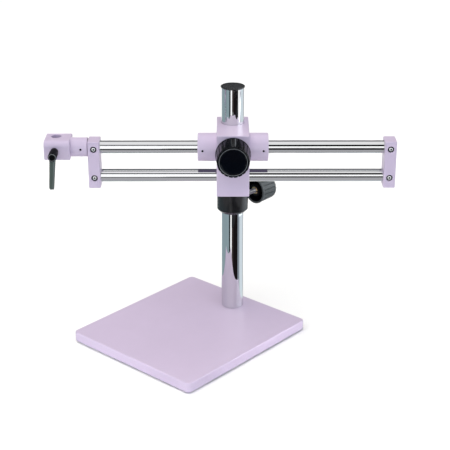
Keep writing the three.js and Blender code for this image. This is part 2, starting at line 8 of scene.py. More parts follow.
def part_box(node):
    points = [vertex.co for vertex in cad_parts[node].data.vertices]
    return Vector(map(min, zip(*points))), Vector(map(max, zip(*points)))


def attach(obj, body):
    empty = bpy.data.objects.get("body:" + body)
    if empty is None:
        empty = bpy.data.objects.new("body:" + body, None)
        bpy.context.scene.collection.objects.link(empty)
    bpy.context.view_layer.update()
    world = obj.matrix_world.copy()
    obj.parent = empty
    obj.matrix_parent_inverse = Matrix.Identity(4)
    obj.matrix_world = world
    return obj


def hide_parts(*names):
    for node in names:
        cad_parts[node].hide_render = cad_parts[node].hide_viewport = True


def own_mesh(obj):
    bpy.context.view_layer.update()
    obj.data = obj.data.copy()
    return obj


# A bench microscope's boom stand: painted base plate, chrome post, carrier block, sliding
# parallel-bar boom and a pin head with its clamping lever. Metres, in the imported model's frame.

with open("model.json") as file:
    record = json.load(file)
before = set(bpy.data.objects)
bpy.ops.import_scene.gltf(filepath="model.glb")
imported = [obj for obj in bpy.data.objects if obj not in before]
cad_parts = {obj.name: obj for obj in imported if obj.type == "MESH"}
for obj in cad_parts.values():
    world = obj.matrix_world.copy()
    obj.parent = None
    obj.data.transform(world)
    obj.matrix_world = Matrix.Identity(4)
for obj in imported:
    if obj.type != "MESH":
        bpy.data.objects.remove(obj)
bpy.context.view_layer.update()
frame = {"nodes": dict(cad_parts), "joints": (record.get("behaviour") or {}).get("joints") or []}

MM = 0.001
JOINTS = {joint["name"]: joint for joint in frame["joints"]}
SIDES = (("left", -1), ("right", 1))

# Driving dimensions that a node's box doesn't give

BASE_DEPTH = 280 * MM
BASE_WIDTH = 255 * MM
BASE_TURN = math.radians(48.4)
BASE_CORNER = 7 * MM
FOOT_INSET = 28 * MM
FOOT_RADIUS = 10.9 * MM
POST_BORE = 14.5 * MM
RUNNING = 0.3 * MM  # radial clearance round the post
SLIDING = 0.15 * MM  # radial clearance round the bars and the small turned pieces
THREAD_PITCH = 1.25 * MM
STUD_RADIUS = 4 * MM
STUD_HOLE = 4.3 * MM
SET_SCREW_HOLE = 1.9 * MM
CARRIER_WIDTH = 51 * MM
HOUSING_RADIUS = 22 * MM
BEARING_HOLE = 16.1 * MM
PIN_BORE = 8.1 * MM
PIN_Y = 40.371 * MM

# The photographed view: a level camera on the stand's front side, looking down at it
CAMERA_PLACE = (0.00266, -1.719963, 0.918784)
CAMERA_PITCH = math.radians(67.213)
CAMERA_YAW = math.radians(-0.137)
CAMERA_LENS = 94.692


# Places read from the frame


def middle(node):
    low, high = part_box(node)
    return (low + high) / 2


def span(node):
    low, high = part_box(node)
    return high - low


def heights(node):
    """The bottom and the top of a node."""
    low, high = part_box(node)
    return low.z, high.z


def post_foot():
    """The post's axis at height 0."""
    place = middle("post")
    place.z = 0
    return place


def post_bore():
    """The bore's radius in what slides on the post."""
    return span("post").x / 2 + RUNNING


def bar_bore():
    """The bore's radius in what holds or slides on a bar."""
    low, high = heights("upper_bar")
    return high / 2 - low / 2 + SLIDING


BAR_BORE = bar_bore()


# Outlines


def rounded(corners, steps=5):
    """A closed outline from (a, b) or (a, b, radius) corners; a corner with a radius becomes a curve."""
    points = []
    for i, corner in enumerate(corners):
        here = Vector(corner[:2])
        if len(corner) == 2:
            points.append(here)
            continue
        to_last = Vector(corners[i - 1][:2]) - here
        to_next = Vector(corners[(i + 1) % len(corners)][:2]) - here
        reach = corner[2] / math.tan(to_last.angle(to_next) / 2)
        start = here + to_last.normalized() * reach
        end = here + to_next.normalized() * reach
        middle_way = (to_last.normalized() + to_next.normalized()).normalized()
        centre = here + middle_way * math.hypot(corner[2], reach)
        first = start - centre
        turn = first.angle_signed(end - centre)
        for k in range(steps + 1):
            angle = -turn * k / steps
            points.append(centre + Matrix.Rotation(angle, 2) @ first)
    return points


def rectangle(size_a, size_b, corner):
    half_a, half_b = size_a / 2, size_b / 2
    signs = [(1, -1), (1, 1), (-1, 1), (-1, -1)]
    return rounded([(sa * half_a, sb * half_b, corner) for sa, sb in signs])


def hexagon(across):
    """A hexagon with this distance between opposite sides."""
    sides = 6
    radius = across / 2 / math.cos(math.pi / sides)
    turns = [2 * math.pi * k / sides for k in range(sides)]
    return [Vector((radius * math.cos(t), radius * math.sin(t))) for t in turns]


def inset(outline, distance):
    """The outline moved inwards by this distance."""
    points = []
    for i, here in enumerate(outline):
        into = (here - outline[i - 1]).normalized()
        onward = (outline[(i + 1) % len(outline)] - here).normalized()
        normal_in = Vector((-into.y, into.x))
        normal_on = Vector((-onward.y, onward.x))
        points.append(here + (normal_in + normal_on) * (distance / (1 + normal_in.dot(normal_on))))
    return points


# Solids, each drawn about +Z and then laid where it goes


def in_scene(name, data):
    obj = bpy.data.objects.new(name, data)
    bpy.context.scene.collection.objects.link(obj)
    return obj


def mesh_object(name, vertices, faces):
    mesh = bpy.data.meshes.new(name)
    mesh.from_pydata([tuple(v) for v in vertices], [], faces)
    return in_scene(name, mesh)


def band(low, high, count):
    """Faces between two rings of points, from where each ring starts."""
    sides = [(j, (j + 1) % count) for j in range(count)]
    return [(low + j, low + k, high + k, high + j) for j, k in sides]


def revolve(name, outline, angles=96, radius_at=None):
    """Turns (radius, height) points, listed from the underside outwards and up, about +Z. An outline
    starts and ends on the axis, or ends where it starts. radius_at changes a point's radius."""
    if isinstance(angles, int):
        angles = [2 * math.pi * k / angles for k in range(angles)]
    on_axis = outline[0][0] == 0
    rings = outline[1:-1] if on_axis else outline[:-1]
    count = len(angles)
    vertices = []
    for radius, height in rings:
        for angle in angles:
            r = radius_at(radius, height, angle) if radius_at else radius
            vertices.append((r * math.cos(angle), r * math.sin(angle), height))
    faces = []
    last_ring = len(rings) - 1 if on_axis else len(rings)
    for i in range(last_ring):
        faces += band(i * count, (i + 1) % len(rings) * count, count)
    if on_axis:
        bottom = len(vertices)
        vertices += [(0, 0, outline[0][1]), (0, 0, outline[-1][1])]
        top_ring = (len(rings) - 1) * count
        for j in range(count):
            k = (j + 1) % count
            faces.append((bottom, k, j))
            faces.append((bottom + 1, top_ring + j, top_ring + k))
    return mesh_object(name, vertices, faces)


def rod(name, radius, low, high, chamfer=0.0, angles=96):
    ends = [(radius, low), (radius, high)]
    if chamfer:
        ends = [
            (radius - chamfer, low),
            (radius, low + chamfer),
            (radius, high - chamfer),
            (radius - chamfer, high),
        ]
    return revolve(name, [(0, low), *ends, (0, high)], angles)


def ring(name, bore, radius, low, high, chamfer, angles=96):
    outline = [
        (bore + chamfer / 2, low),
        (radius - chamfer, low),
        (radius, low + chamfer),
        (radius, high - chamfer),
        (radius - chamfer, high),
        (bore + chamfer / 2, high),
        (bore, high - chamfer / 2),
        (bore, low + chamfer / 2),
    ]
    return revolve(name, [*outline, outline[0]], angles)


def drill(radius, low, high, flare=0.0):
    """A cutting tool. With a flare, its high end lies on a face and breaks the hole's edge there."""
    outline = [(0, low), (radius, low), (radius, high)]
    if flare:
        outline[-1] = (radius, high - flare)
        outline += [(radius + 2 * flare, high + flare), (radius + 2 * flare, high + 2 * flare)]
    return revolve("tool", [*outline, (0, outline[-1][1])], 72)


def through_drill(radius, low, high, flare):
    """A cutting tool from face to face, which breaks the hole's edge at both."""
    wide = radius + 2 * flare
    outline = [
        (0, low - 2 * flare),
        (wide, low - 2 * flare),
        (wide, low - flare),
        (radius, low + flare),
        (radius, high - flare),
        (wide, high + flare),
        (wide, high + 2 * flare),
        (0, high + 2 * flare),
    ]
    return revolve("tool", outline, 96)


def prism(name, outline, low, high, bevel=0.0):
    """Raises an anticlockwise outline along +Z, with round edges at both ends."""
    levels = [(0, low), (0, high)]
    if bevel:
        steps = 4
        turns = [math.pi / 2 * k / steps for k in range(steps + 1)]
        lower = [(bevel * (1 - math.sin(t)), low + bevel * (1 - math.cos(t))) for t in turns]
        levels = lower + [(distance, low + high - height) for distance, height in reversed(lower)]
    count = len(outline)
    vertices = []
    for distance, height in levels:
        vertices += [(p.x, p.y, height) for p in (inset(outline, distance) if distance else outline)]
    faces = [tuple(reversed(range(count)))]
    for i in range(len(levels) - 1):
        faces += band(i * count, (i + 1) * count, count)
    faces.append(tuple(range(len(vertices) - count, len(vertices))))
    return mesh_object(name, vertices, faces)


def lay(obj, place=(0, 0, 0), axis=(0, 0, 1), turn=0.0):
    """Turns a piece about its own +Z, points that +Z along an axis and moves it to its place."""
    aim = Vector((0, 0, 1)).rotation_difference(Vector(axis)).to_matrix().to_4x4()
    obj.data.transform(Matrix.Translation(Vector(place)) @ aim @ Matrix.Rotation(turn, 4, "Z"))
    return obj


ALONG_X = (1, 0, 0)
FRONT = (0, -1, 0)
BACK = (0, 1, 0)
DOWN = (0, 0, -1)
OUTLINE_IN_YZ = Matrix(((0, 0, 1, 0), (1, 0, 0, 0), (0, 1, 0, 0), (0, 0, 0, 1)))


def combine(obj, operation, others):
    for other in others:
        modifier = obj.modifiers.new(operation, "BOOLEAN")
        modifier.operation = operation
        modifier.solver = "EXACT"
        modifier.object = other
        bpy.context.view_layer.update()
        evaluated = obj.evaluated_get(bpy.context.evaluated_depsgraph_get())
        made = bpy.data.meshes.new_from_object(evaluated)
        obj.modifiers.clear()
        obj.data = made
        bpy.data.objects.remove(other)
    return obj


def cut(obj, *tools):
    return combine(obj, "DIFFERENCE", tools)


def join(obj, *others):
    return combine(obj, "UNION", others)


def threaded_rod(name, radius, low, high, pitch=THREAD_PITCH, angles=36):
    """A rod with a cut thread: the radius follows a helix, and both ends taper."""
    depth = 0.5 * pitch
    rows = int((high - low) / (pitch / 6))
    heights = [low + (high - low) * k / rows for k in range(rows + 1)]

    def radius_at(r, height, angle):
        wave = abs(2 * ((height / pitch - angle / (2 * math.pi)) % 1) - 1)
        end = min(height - low, high - height)
        return min(r - depth * wave, r - depth + end)

    outline = [(0, low), *[(radius, height) for height in heights], (0, high)]
    return revolve(name, outline, angles, radius_at)


# Surfaces


def new_material(name):
    """An empty material, with what makes its nodes and what links them."""
    material = bpy.data.materials.new(name)
    material.use_nodes = True
    tree = material.node_tree
    tree.nodes.clear()

    def make(kind, **values):
        node = tree.nodes.new(kind)
        for key, value in values.items():
            if hasattr(node, key):
                setattr(node, key, value)
            else:
                node.inputs[key.replace("_", " ")].default_value = value
        return node

    return material, make, tree.links.new


def surface(
    name,
    color,
    roughness,
    metallic=0.0,
    mottle=0.04,
    mottle_scale=30.0,
    grain_scale=900.0,
    grain_height=0.02,
    stretch=(1, 1, 1),
    roughness_spread=0.06,
    specular=0.5,
):
    """A solid finish: faint cloudy colour, a roughness that varies with it, and fine surface grain.
    Stretch draws the grain out along an axis, as polishing or turning marks do."""
    material, make, link = new_material(name)
    output = make("ShaderNodeOutputMaterial")
    shader = make("ShaderNodeBsdfPrincipled", Metallic=metallic, Specular_IOR_Level=specular)
    link(shader.outputs["BSDF"], output.inputs["Surface"])
    place = make("ShaderNodeTexCoord")

    cloud = make("ShaderNodeTexNoise", Scale=mottle_scale, Detail=4.0, Roughness=0.55)
    link(place.outputs["Object"], cloud.inputs["Vector"])
    tones = make("ShaderNodeValToRGB")
    darker = [c * (1 - mottle) for c in color]
    lighter = [min(1.0, c * (1 + mottle)) for c in color]
    tones.color_ramp.elements[0].position = 0.3
    tones.color_ramp.elements[0].color = (*darker, 1)
    tones.color_ramp.elements[1].position = 0.7
    tones.color_ramp.elements[1].color = (*lighter, 1)
    link(cloud.outputs["Fac"], tones.inputs["Fac"])
    link(tones.outputs["Color"], shader.inputs["Base Color"])

    stretched = make("ShaderNodeMapping")
    stretched.inputs["Scale"].default_value = stretch
    link(place.outputs["Object"], stretched.inputs["Vector"])
    grain = make("ShaderNodeTexNoise", Scale=grain_scale, Detail=3.0, Roughness=0.5)
    link(stretched.outputs["Vector"], grain.inputs["Vector"])
    spread = make("ShaderNodeMapRange")
    spread.inputs["To Min"].default_value = max(0.0, roughness - roughness_spread)
    spread.inputs["To Max"].default_value = roughness + roughness_spread
    link(grain.outputs["Fac"], spread.inputs["Value"])
    link(spread.outputs["Result"], shader.inputs["Roughness"])

    bump = make("ShaderNodeBump", Strength=1.0, Distance=grain_height * MM)
    link(grain.outputs["Fac"], bump.inputs["Height"])
    link(bump.outputs["Normal"], shader.inputs["Normal"])
    return material


def polished(name, stretch):
    """Chrome that keeps faint drawing marks along its length, so its grain is stretched that way."""
    return surface(name, (0.7, 0.71, 0.72), 0.03, 1, 0.01, 12, 500, 0.0006, stretch, 0.02)


def moulded(name, color, roughness, specular=0.5, grain_height=0.004):
    return surface(name, color, roughness, 0, 0.1, 60, 1600, grain_height, specular=specular)


lilac = surface(
    "lilac_powder_coat", (0.575, 0.485, 0.635), 0.32, mottle=0.012, grain_height=0.006, specular=0.2
)
chrome_upright = polished("chrome_post", (1, 1, 0.04))
chrome_along = polished("chrome_bar", (0.04, 1, 1))
chrome_small = surface("bright_screw", (0.9, 0.91, 0.92), 0.3, 0.55, 0.02, 60, 900, 0.002)
steel = surface("turned_steel", (0.4, 0.41, 0.42), 0.28, 1, 0.06, 80, 1200, 0.004)
brass = surface("turned_brass", (0.6, 0.45, 0.24), 0.25, 1, 0.08, 80, 1200, 0.004)
black_plastic = moulded("moulded_black", (0.0035, 0.004, 0.0055), 0.17, 0.09)
# A near-black for the lever screw's finish that is also painted shade: the skins in the knob cups and the
# lever hub's darkness.
black_and_shade = moulded("matte_black_and_painted_shade", (0.003, 0.003, 0.004), 0.5, 0.06)
# The large knob's black plastic made lighter, which paints sheen on the small knobs' grips.
black_painted_sheen = moulded("moulded_black_painted_sheen", (0.075, 0.083, 0.085), 0.4, 0.14, 0.006)
black_gloss = surface(
    "moulded_gloss_black", (0.001, 0.0018, 0.004), 0.07, 0, 0.1, 40, 1500, 0.001, specular=0.3
)
black_cap = moulded("moulded_cap", (0.012, 0.013, 0.014), 0.25)
washer_grey = surface("washer_grey", (0.27, 0.25, 0.3), 0.4, 0, 0.05, 60, 1200, 0.004)
# A grey that paints thin highlight rings on the black knob faces and on the lever hub's front.
painted_highlight_grey = surface("painted_highlight_grey", (0.19, 0.2, 0.21), 0.25, 0, 0.05, 60, 900, 0.002)
anodised = surface("black_anodised", (0.0065, 0.0065, 0.008), 0.26, 0, 0.08, 50, 900, 0.002, (1, 1, 8))
lever_plastic = surface("dark_green_plastic", (0.036, 0.056, 0.05), 0.36, 0, 0.07, 80, 1400, 0.01)
rubber = surface("rubber", (0.018, 0.018, 0.018), 0.75, 0, 0.12, 90, 1500, 0.03)
nylon = surface("nylon", (0.72, 0.7, 0.64), 0.45, 0, 0.03, 60, 1200, 0.01)


def finish(obj, body, material, slot, *nodes):
    """Shades a piece, hangs it on its body and lets it stand for its CAD nodes."""
    obj.data.materials.clear()
    obj.data.materials.append(material)
    obj.data.shade_smooth()
    obj.data.set_sharp_from_angle(angle=math.radians(32))
    weighted = obj.modifiers.new("flat faces stay flat", "WEIGHTED_NORMAL")
    weighted.keep_sharp = True
    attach(obj, body)
    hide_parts(*nodes)
    return obj


# Base plate, feet and the post with what holds it


def on_base(local_x, local_y, height):
    """A point of the base plate's own frame, whose origin is the plate's middle."""
    turned = Matrix.Rotation(BASE_TURN, 2) @ Vector((local_x, local_y))
    centre = middle("base_plate")
    return (centre.x + turned.x, centre.y + turned.y, height)


def foot_places():
    reach_x = BASE_DEPTH / 2 - FOOT_INSET
    reach_y = BASE_WIDTH / 2 - FOOT_INSET
    return [(sx * reach_x, sy * reach_y) for sx in (-1, 1) for sy in (-1, 1)]


def add_base():
    bottom, top = heights("base_plate")
    outline = rectangle(BASE_DEPTH, BASE_WIDTH, BASE_CORNER)
    plate = prism("base_plate_painted", outline, bottom, top, 1.4 * MM)
    lay(plate, on_base(0, 0, 0), turn=BASE_TURN)
    under_post = (middle("post").x, middle("post").y, bottom)
    bolt_pocket, bolt_hole, foot_pocket = 14 * MM, 5.5 * MM, 11.4 * MM
    tools = [
        lay(drill(bolt_pocket, -10 * MM, 0, 0.4 * MM), under_post, DOWN),
        lay(drill(bolt_hole, 0, 20 * MM), under_post),
    ]
    for x, y in foot_places():
        tools.append(lay(drill(foot_pocket, -1.5 * MM, 0, 0.2 * MM), on_base(x, y, bottom), DOWN))
    finish(cut(plate, *tools), "base", lilac, "lilac_paint", "base_plate")


def add_feet():
    low, high = heights("foot_1")
    for i, (x, y) in enumerate(foot_places()):
        outline = [
            (0, low + 1.2 * MM),
            (3.2 * MM, low + 1.2 * MM),
            (3.6 * MM, low),
            (6.4 * MM, low),
            (6.8 * MM, low + 0.5 * MM),
            (7.6 * MM, low + 0.5 * MM),
            (8.0 * MM, low),
            (FOOT_RADIUS - 0.9 * MM, low),
            (FOOT_RADIUS - 0.3 * MM, low + 0.3 * MM),
            (FOOT_RADIUS, low + 0.9 * MM),
            (FOOT_RADIUS - 0.3 * MM, high),
            (0, high),
        ]
        foot = lay(revolve(f"rubber_foot_{i + 1}", outline), on_base(x, y, 0))
        finish(foot, "base", rubber, "rubber", f"foot_{i + 1}")


def add_post():
    place = post_foot()
    low, high = heights("post")
    radius = span("post").x / 2
    tube = lay(ring("chrome_post_tube", POST_BORE, radius, low, high, 0.5 * MM, 160), place)
    finish(tube, "base", chrome_upright, "chrome", "post")

    low, high = heights("post_washer")
    washer = ring("post_washer_turned", 5.4 * MM, span("post_washer").x / 2, low, high, 0.3 * MM)
    finish(lay(washer, place), "base", steel, "steel", "post_washer")

    low, high = heights("post_bolt")
    head_top = low + 7 * MM
    outline = [
        (0, low),
        (7.2 * MM, low),
        (8 * MM, low + 0.8 * MM),
        (8 * MM, head_top),
        (5 * MM, head_top),
        (5 * MM, high - MM),
        (4.2 * MM, high),
        (0, high),
    ]
    bolt = revolve("post_bolt_turned", outline)
    bolt = cut(bolt, prism("tool", hexagon(8 * MM), low - MM, low + 4 * MM))
    finish(lay(bolt, place), "base", steel, "steel", "post_bolt")

    low, high = heights("post_cap")
    radius = span("post_cap").x / 2
    rim_foot = high - 2.1 * MM
    stem = 14.3 * MM
    outline = [
        (0, rim_foot - MM),
        (stem - 2.5 * MM, rim_foot - MM),
        (stem - 2.5 * MM, low),
        (stem - 0.6 * MM, low),
        (stem, low + MM),
        (stem, rim_foot),
        (radius - 0.3 * MM, rim_foot),
        (radius, rim_foot + 0.4 * MM),
        (radius, high - 0.8 * MM),
        (radius - 0.25 * MM, high - 0.3 * MM),
        (radius - 0.8 * MM, high),
        (radius - 2.2 * MM, high),
        (radius - 2.5 * MM, high - 0.15 * MM),
        (2.0 * MM, high - 0.05 * MM),
        (1.6 * MM, high - 0.3 * MM),
        (0, high - 0.35 * MM),
    ]
    cap = lay(revolve("post_cap_moulded", outline, 128), place)
    finish(cap, "base", black_cap, "black_plastic", "post_cap")


# Collar and thrust washer


def add_collar():
    place = post_foot()
    bore = post_bore()
    low, high = heights("collar")
    radius = span("collar").x / 2
    outline = [
        (bore + 0.5 * MM, low),
        (radius - 5.2 * MM, low),
        (radius - 0.25 * MM, low + 4.9 * MM),
        (radius, low + 5.6 * MM),
        (radius, high - 0.9 * MM),
        (radius - 0.9 * MM, high),
        (bore + 0.5 * MM, high),
        (bore, high - 0.5 * MM),
        (bore, low + 0.5 * MM),
    ]
    collar = lay(revolve("collar_turned", [*outline, outline[0]], 160), place)
    turn = JOINTS["collar_lock_turn"]
    hole = drill(STUD_HOLE, 10 * MM, radius, 0.5 * MM)
    lay(hole, (place.x, place.y, turn["pos_m"][2]), turn["axis"])
    finish(cut(collar, hole), "collar", anodised, "black_anodised", "collar")

    low, high = heights("thrust_washer")
    washer = ring("thrust_washer_nylon", bore, span("thrust_washer").x / 2, low, high, 0.25 * MM)
    finish(lay(washer, place), "collar", nylon, "nylon", "thrust_washer")


# Clamping knobs


def grooved_angles(count):
    """Sample angles for a grip: wide lands, with closer samples round each narrow groove."""
    shares = (-0.5, -0.38, -0.26, -0.15, -0.085, -0.055, 0, 0.055, 0.085, 0.15, 0.26, 0.38)
    pitch = 2 * math.pi / count
    return [(i + share) * pitch for i in range(count) for share in shares]


def knob_set(prefix, rim, length, grooves, body, plastic):
    """A cup knob with a dark skin of painted shade in its cup, a face ringed with painted highlight, a
    brass bush and a threaded stud. Its rim is at height 0.
    """
    turn = JOINTS[f"{prefix}_turn"]
    place, axis = turn["pos_m"], turn["axis"]
    nose = rim - 3 * MM
    dish = nose - 2.6 * MM
    dish_floor = length - 2.4 * MM
    boss, boss_back = 10 * MM, 2.5 * MM
    bush = 6.2 * MM + SLIDING
    bush_front = length - 9 * MM
    web_back = length - 6.2 * MM
    wall = 3.2 * MM
    grip_start, grip_end = 3.6 * MM, length - 3.2 * MM
    slope = (nose + 0.5 * MM - (rim - 0.5 * MM)) / (grip_end - grip_start)
    grip_rows = [0, 0.5 * MM, 1.2 * MM, 6 * MM, grip_end - grip_start - MM]
    outline = [
        (0, bush_front),
        (bush, bush_front),
        (bush, boss_back + 0.4 * MM),
        (bush + 0.4 * MM, boss_back),
        (boss - 0.6 * MM, boss_back),
        (boss, boss_back + 0.6 * MM),
        (boss + 0.4 * MM, web_back - 0.8 * MM),
        (boss + 1.2 * MM, web_back),
        (nose - wall - 2 * MM, web_back),
        (nose - wall - MM, web_back - MM),
        (rim - wall, 1.2 * MM),
        (rim - wall + 0.4 * MM, 0.3 * MM),
        (rim - wall + 1.0 * MM, 0),
        (rim - 0.8 * MM, 0),
        (rim - 0.25 * MM, 0.25 * MM),
        (rim, 0.8 * MM),
        (rim - 0.1 * MM, 2.4 * MM),
        (rim - 0.3 * MM, 2.9 * MM),
        *[(rim - 0.5 * MM + slope * row, grip_start + row) for row in grip_rows],
        (nose + 0.5 * MM, grip_end),
        (nose + 0.3 * MM, length - 1.8 * MM),
        (nose - 0.2 * MM, length - 0.9 * MM),
        (nose - 0.8 * MM, length - 0.25 * MM),
        (nose - 1.4 * MM, length),
        (dish + 0.5 * MM, length),
        (dish + 0.1 * MM, length - 0.3 * MM),
        (dish, length - 0.8 * MM),
        (dish, dish_floor),
        (0, dish_floor),
    ]
    pitch = 2 * math.pi / grooves
    groove_depth, groove_floor = 1.7 * MM, nose - 1.9 * MM
    land_crown = 0.25 * MM
    groove_half, groove_slope, land_half = 0.085, 0.03, 0.415  # shares of the pitch

    def grip_radius(radius, height, angle):
        if height < grip_start or radius < nose - 1.5 * MM:
            return radius
        fade_in = min(1.0, (height - grip_start) / (1.2 * MM))
        offset = abs((angle / pitch + 0.5) % 1 - 0.5)
        share = min(1.0, max(0.0, (groove_half - offset) / groove_slope))
        edge_drop = land_crown * min(1.0, abs(offset - 0.5) / land_half) ** 2
        return max(radius - (edge_drop + groove_depth * share) * fade_in, groove_floor)

    knob = revolve(f"{prefix}_knob_moulded", outline, grooved_angles(grooves), grip_radius)
    lay(knob, place, axis)
    finish(knob, body, plastic, "black_plastic", f"{prefix}_knob")

    # A near-black skin just inside the cup: painted shade in the knob's hollow.
    gap, skin = 0.05 * MM, 0.3 * MM
    inner = boss + 0.4 * MM + gap
    outline = [
        (bush + 0.5 * MM, boss_back - gap - skin),
        (boss - 0.3 * MM, boss_back - gap - skin),
        (inner + skin, boss_back + 0.5 * MM),
        (inner + skin, web_back - MM),
        (boss + 1.3 * MM, web_back - gap - skin),
        (nose - wall - 2.1 * MM, web_back - gap - skin),
        (nose - wall - MM - gap - skin, web_back - 1.2 * MM),
        (rim - wall - gap - skin, 1.5 * MM),
        (rim - wall - gap, 1.5 * MM),
        (nose - wall - MM - gap, web_back - MM - gap),
        (nose - wall - 2 * MM, web_back - gap),
        (boss + 1.2 * MM, web_back - gap),
        (inner, web_back - 0.9 * MM),
        (inner, boss_back + 0.6 * MM),
        (boss - 0.6 * MM, boss_back - gap),
        (bush + 0.5 * MM, boss_back - gap),
        (bush + 0.5 * MM, boss_back - gap - skin),
    ]
    shade_skin = revolve(f"{prefix}_knob_painted_shade_skin", outline)
    finish(lay(shade_skin, place, axis), body, black_and_shade, "black_plastic")

    low, high = dish_floor + SLIDING, length - 1.1 * MM
    bead_edge = dish - 0.15 * MM
    edge = bead_edge - 0.9 * MM
    # A grey ring at the face's edge: a painted highlight on the black knob.
    bead = ring(f"{prefix}_face_bead", edge + 0.05 * MM, bead_edge, low, high + 0.25 * MM, 0.3 * MM, 128)
    finish(lay(bead, place, axis), body, painted_highlight_grey, "black_plastic")
    outline = [
        (0, low),
        (edge, low),
        (edge, high - 0.35 * MM),
        (edge - 0.1 * MM, high - 0.1 * MM),
        (edge - 0.35 * MM, high),
        (edge - 1.8 * MM, high),
        (edge - 2.1 * MM, high - 0.3 * MM),
        (edge - 4 * MM, high - 0.35 * MM),
        (edge / 2, high - 0.2 * MM),
        (edge / 4, high - 0.15 * MM),
        (0, high - 0.14 * MM),
    ]
    disc = revolve(f"{prefix}_face_disc", outline, 128)
    finish(lay(disc, place, axis), body, black_gloss, "black_plastic", f"{prefix}_face")

    stud_bore = STUD_RADIUS + SLIDING
    sleeve = ring(f"{prefix}_bush_turned", stud_bore, 6.2 * MM, MM, bush_front - SLIDING, 0.6 * MM)
    finish(lay(sleeve, place, axis), body, brass, "brass", f"{prefix}_bush")

    away = Vector(axis)
    corners = [Vector(v.co) for v in frame["nodes"][f"{prefix}_stud"].data.vertices]
    reach = [(corner - Vector(place)).dot(away) for corner in corners]
    stud = threaded_rod(f"{prefix}_stud_threaded", STUD_RADIUS, min(reach), max(reach))
    finish(lay(stud, place, axis), body, steel, "steel", f"{prefix}_stud")


def add_knobs():
    large = span("boom_lock_knob")
    small = span("swivel_lock_knob")
    knob_set("boom_lock", large.x / 2, large.y, 20, "boom_lock", black_plastic)
    # The small knobs take the lightened black, which paints sheen on their grips.
    knob_set("swivel_lock", small.x / 2, small.y, 18, "swivel_lock", black_painted_sheen)
    knob_set("collar_lock", small.x / 2, small.y, 18, "collar_lock", black_painted_sheen)


# Carrier block with its bearings, bushes and set screws


def add_set_screw(node, body):
    """A headless screw, drawn with its tip at height 0 and a hexagon socket in its outer end."""
    length = span(node).y
    screw = threaded_rod(f"{node}_threaded", span(node).x / 2, 0, length, 0.6 * MM, 30)
    cut(screw, prism("tool", hexagon(1.6 * MM), length - 1.2 * MM, length + MM))
    tip = middle(node) + Vector((0, length / 2, 0))
    finish(lay(screw, tip, FRONT), body, black_plastic, "black_anodised", node)


def add_carrier():
    low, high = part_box("carrier_block")
    post = middle("post")
    upper, lower = middle("upper_bar"), middle("lower_bar")
    outline = rectangle(CARRIER_WIDTH, high.y - low.y, 1.7 * MM)
    block = prism("carrier_painted", outline, low.z, high.z, 1.3 * MM)
    lay(block, (post.x, (low.y + high.y) / 2, 0))
    half = (high.x - low.x) / 2
    at_upper = (post.x, upper.y, upper.z)
    at_lower = (post.x, lower.y, lower.z)
    outline = [
        (0, -half),
        (HOUSING_RADIUS - 1.2 * MM, -half),
        (HOUSING_RADIUS - 0.35 * MM, -half + 0.35 * MM),
        (HOUSING_RADIUS, -half + 1.2 * MM),
        (HOUSING_RADIUS, half - 1.2 * MM),
        (HOUSING_RADIUS - 0.35 * MM, half - 0.35 * MM),
        (HOUSING_RADIUS - 1.2 * MM, half),
        (0, half),
    ]
    housing = revolve("housing", outline, 144)
    join(block, lay(housing, at_upper, ALONG_X))
    bush_radius = span("guide_bush_left").y / 2 + SLIDING
    bush_depth = span("guide_bush_left").x + 2 * SLIDING
    half_width = CARRIER_WIDTH / 2
    bush_floor = half_width - bush_depth
    at_boom_lock = (post.x, post.y, JOINTS["boom_lock_turn"]["pos_m"][2])
    at_swivel_lock = (post.x, post.y, JOINTS["swivel_lock_turn"]["pos_m"][2])
    pad_room = span("boom_lock_pad").x / 2 + 0.6 * MM
    pad_start, pad_end, stud_start = 50 * MM, 66 * MM, 60 * MM
    tools = [
        lay(through_drill(post_bore(), low.z, high.z, 0.4 * MM), (post.x, post.y, 0)),
        lay(through_drill(BEARING_HOLE, -half, half, 0.4 * MM), at_upper, ALONG_X),
        lay(drill(BAR_BORE + 0.9 * MM, -half_width, half_width), at_lower, ALONG_X),
        lay(drill(bush_radius, bush_floor, half_width, 0.3 * MM), at_lower, ALONG_X),
        lay(drill(bush_radius, bush_floor, half_width, 0.3 * MM), at_lower, (-1, 0, 0)),
        lay(drill(pad_room, pad_start, pad_end), at_boom_lock, FRONT),
        lay(drill(STUD_HOLE, stud_start, post.y - low.y, 0.5 * MM), at_boom_lock, FRONT),
        lay(drill(STUD_HOLE, 0, high.y - post.y, 0.5 * MM), at_swivel_lock, BACK),
    ]
    for side, _ in SIDES:
        place = (middle(f"bearing_screw_{side}").x, upper.y, upper.z)
        tools.append(lay(drill(SET_SCREW_HOLE, 10 * MM, HOUSING_RADIUS, 0.2 * MM), place, FRONT))
    finish(cut(block, *tools), "carrier", lilac, "lilac_paint", "carrier_block")


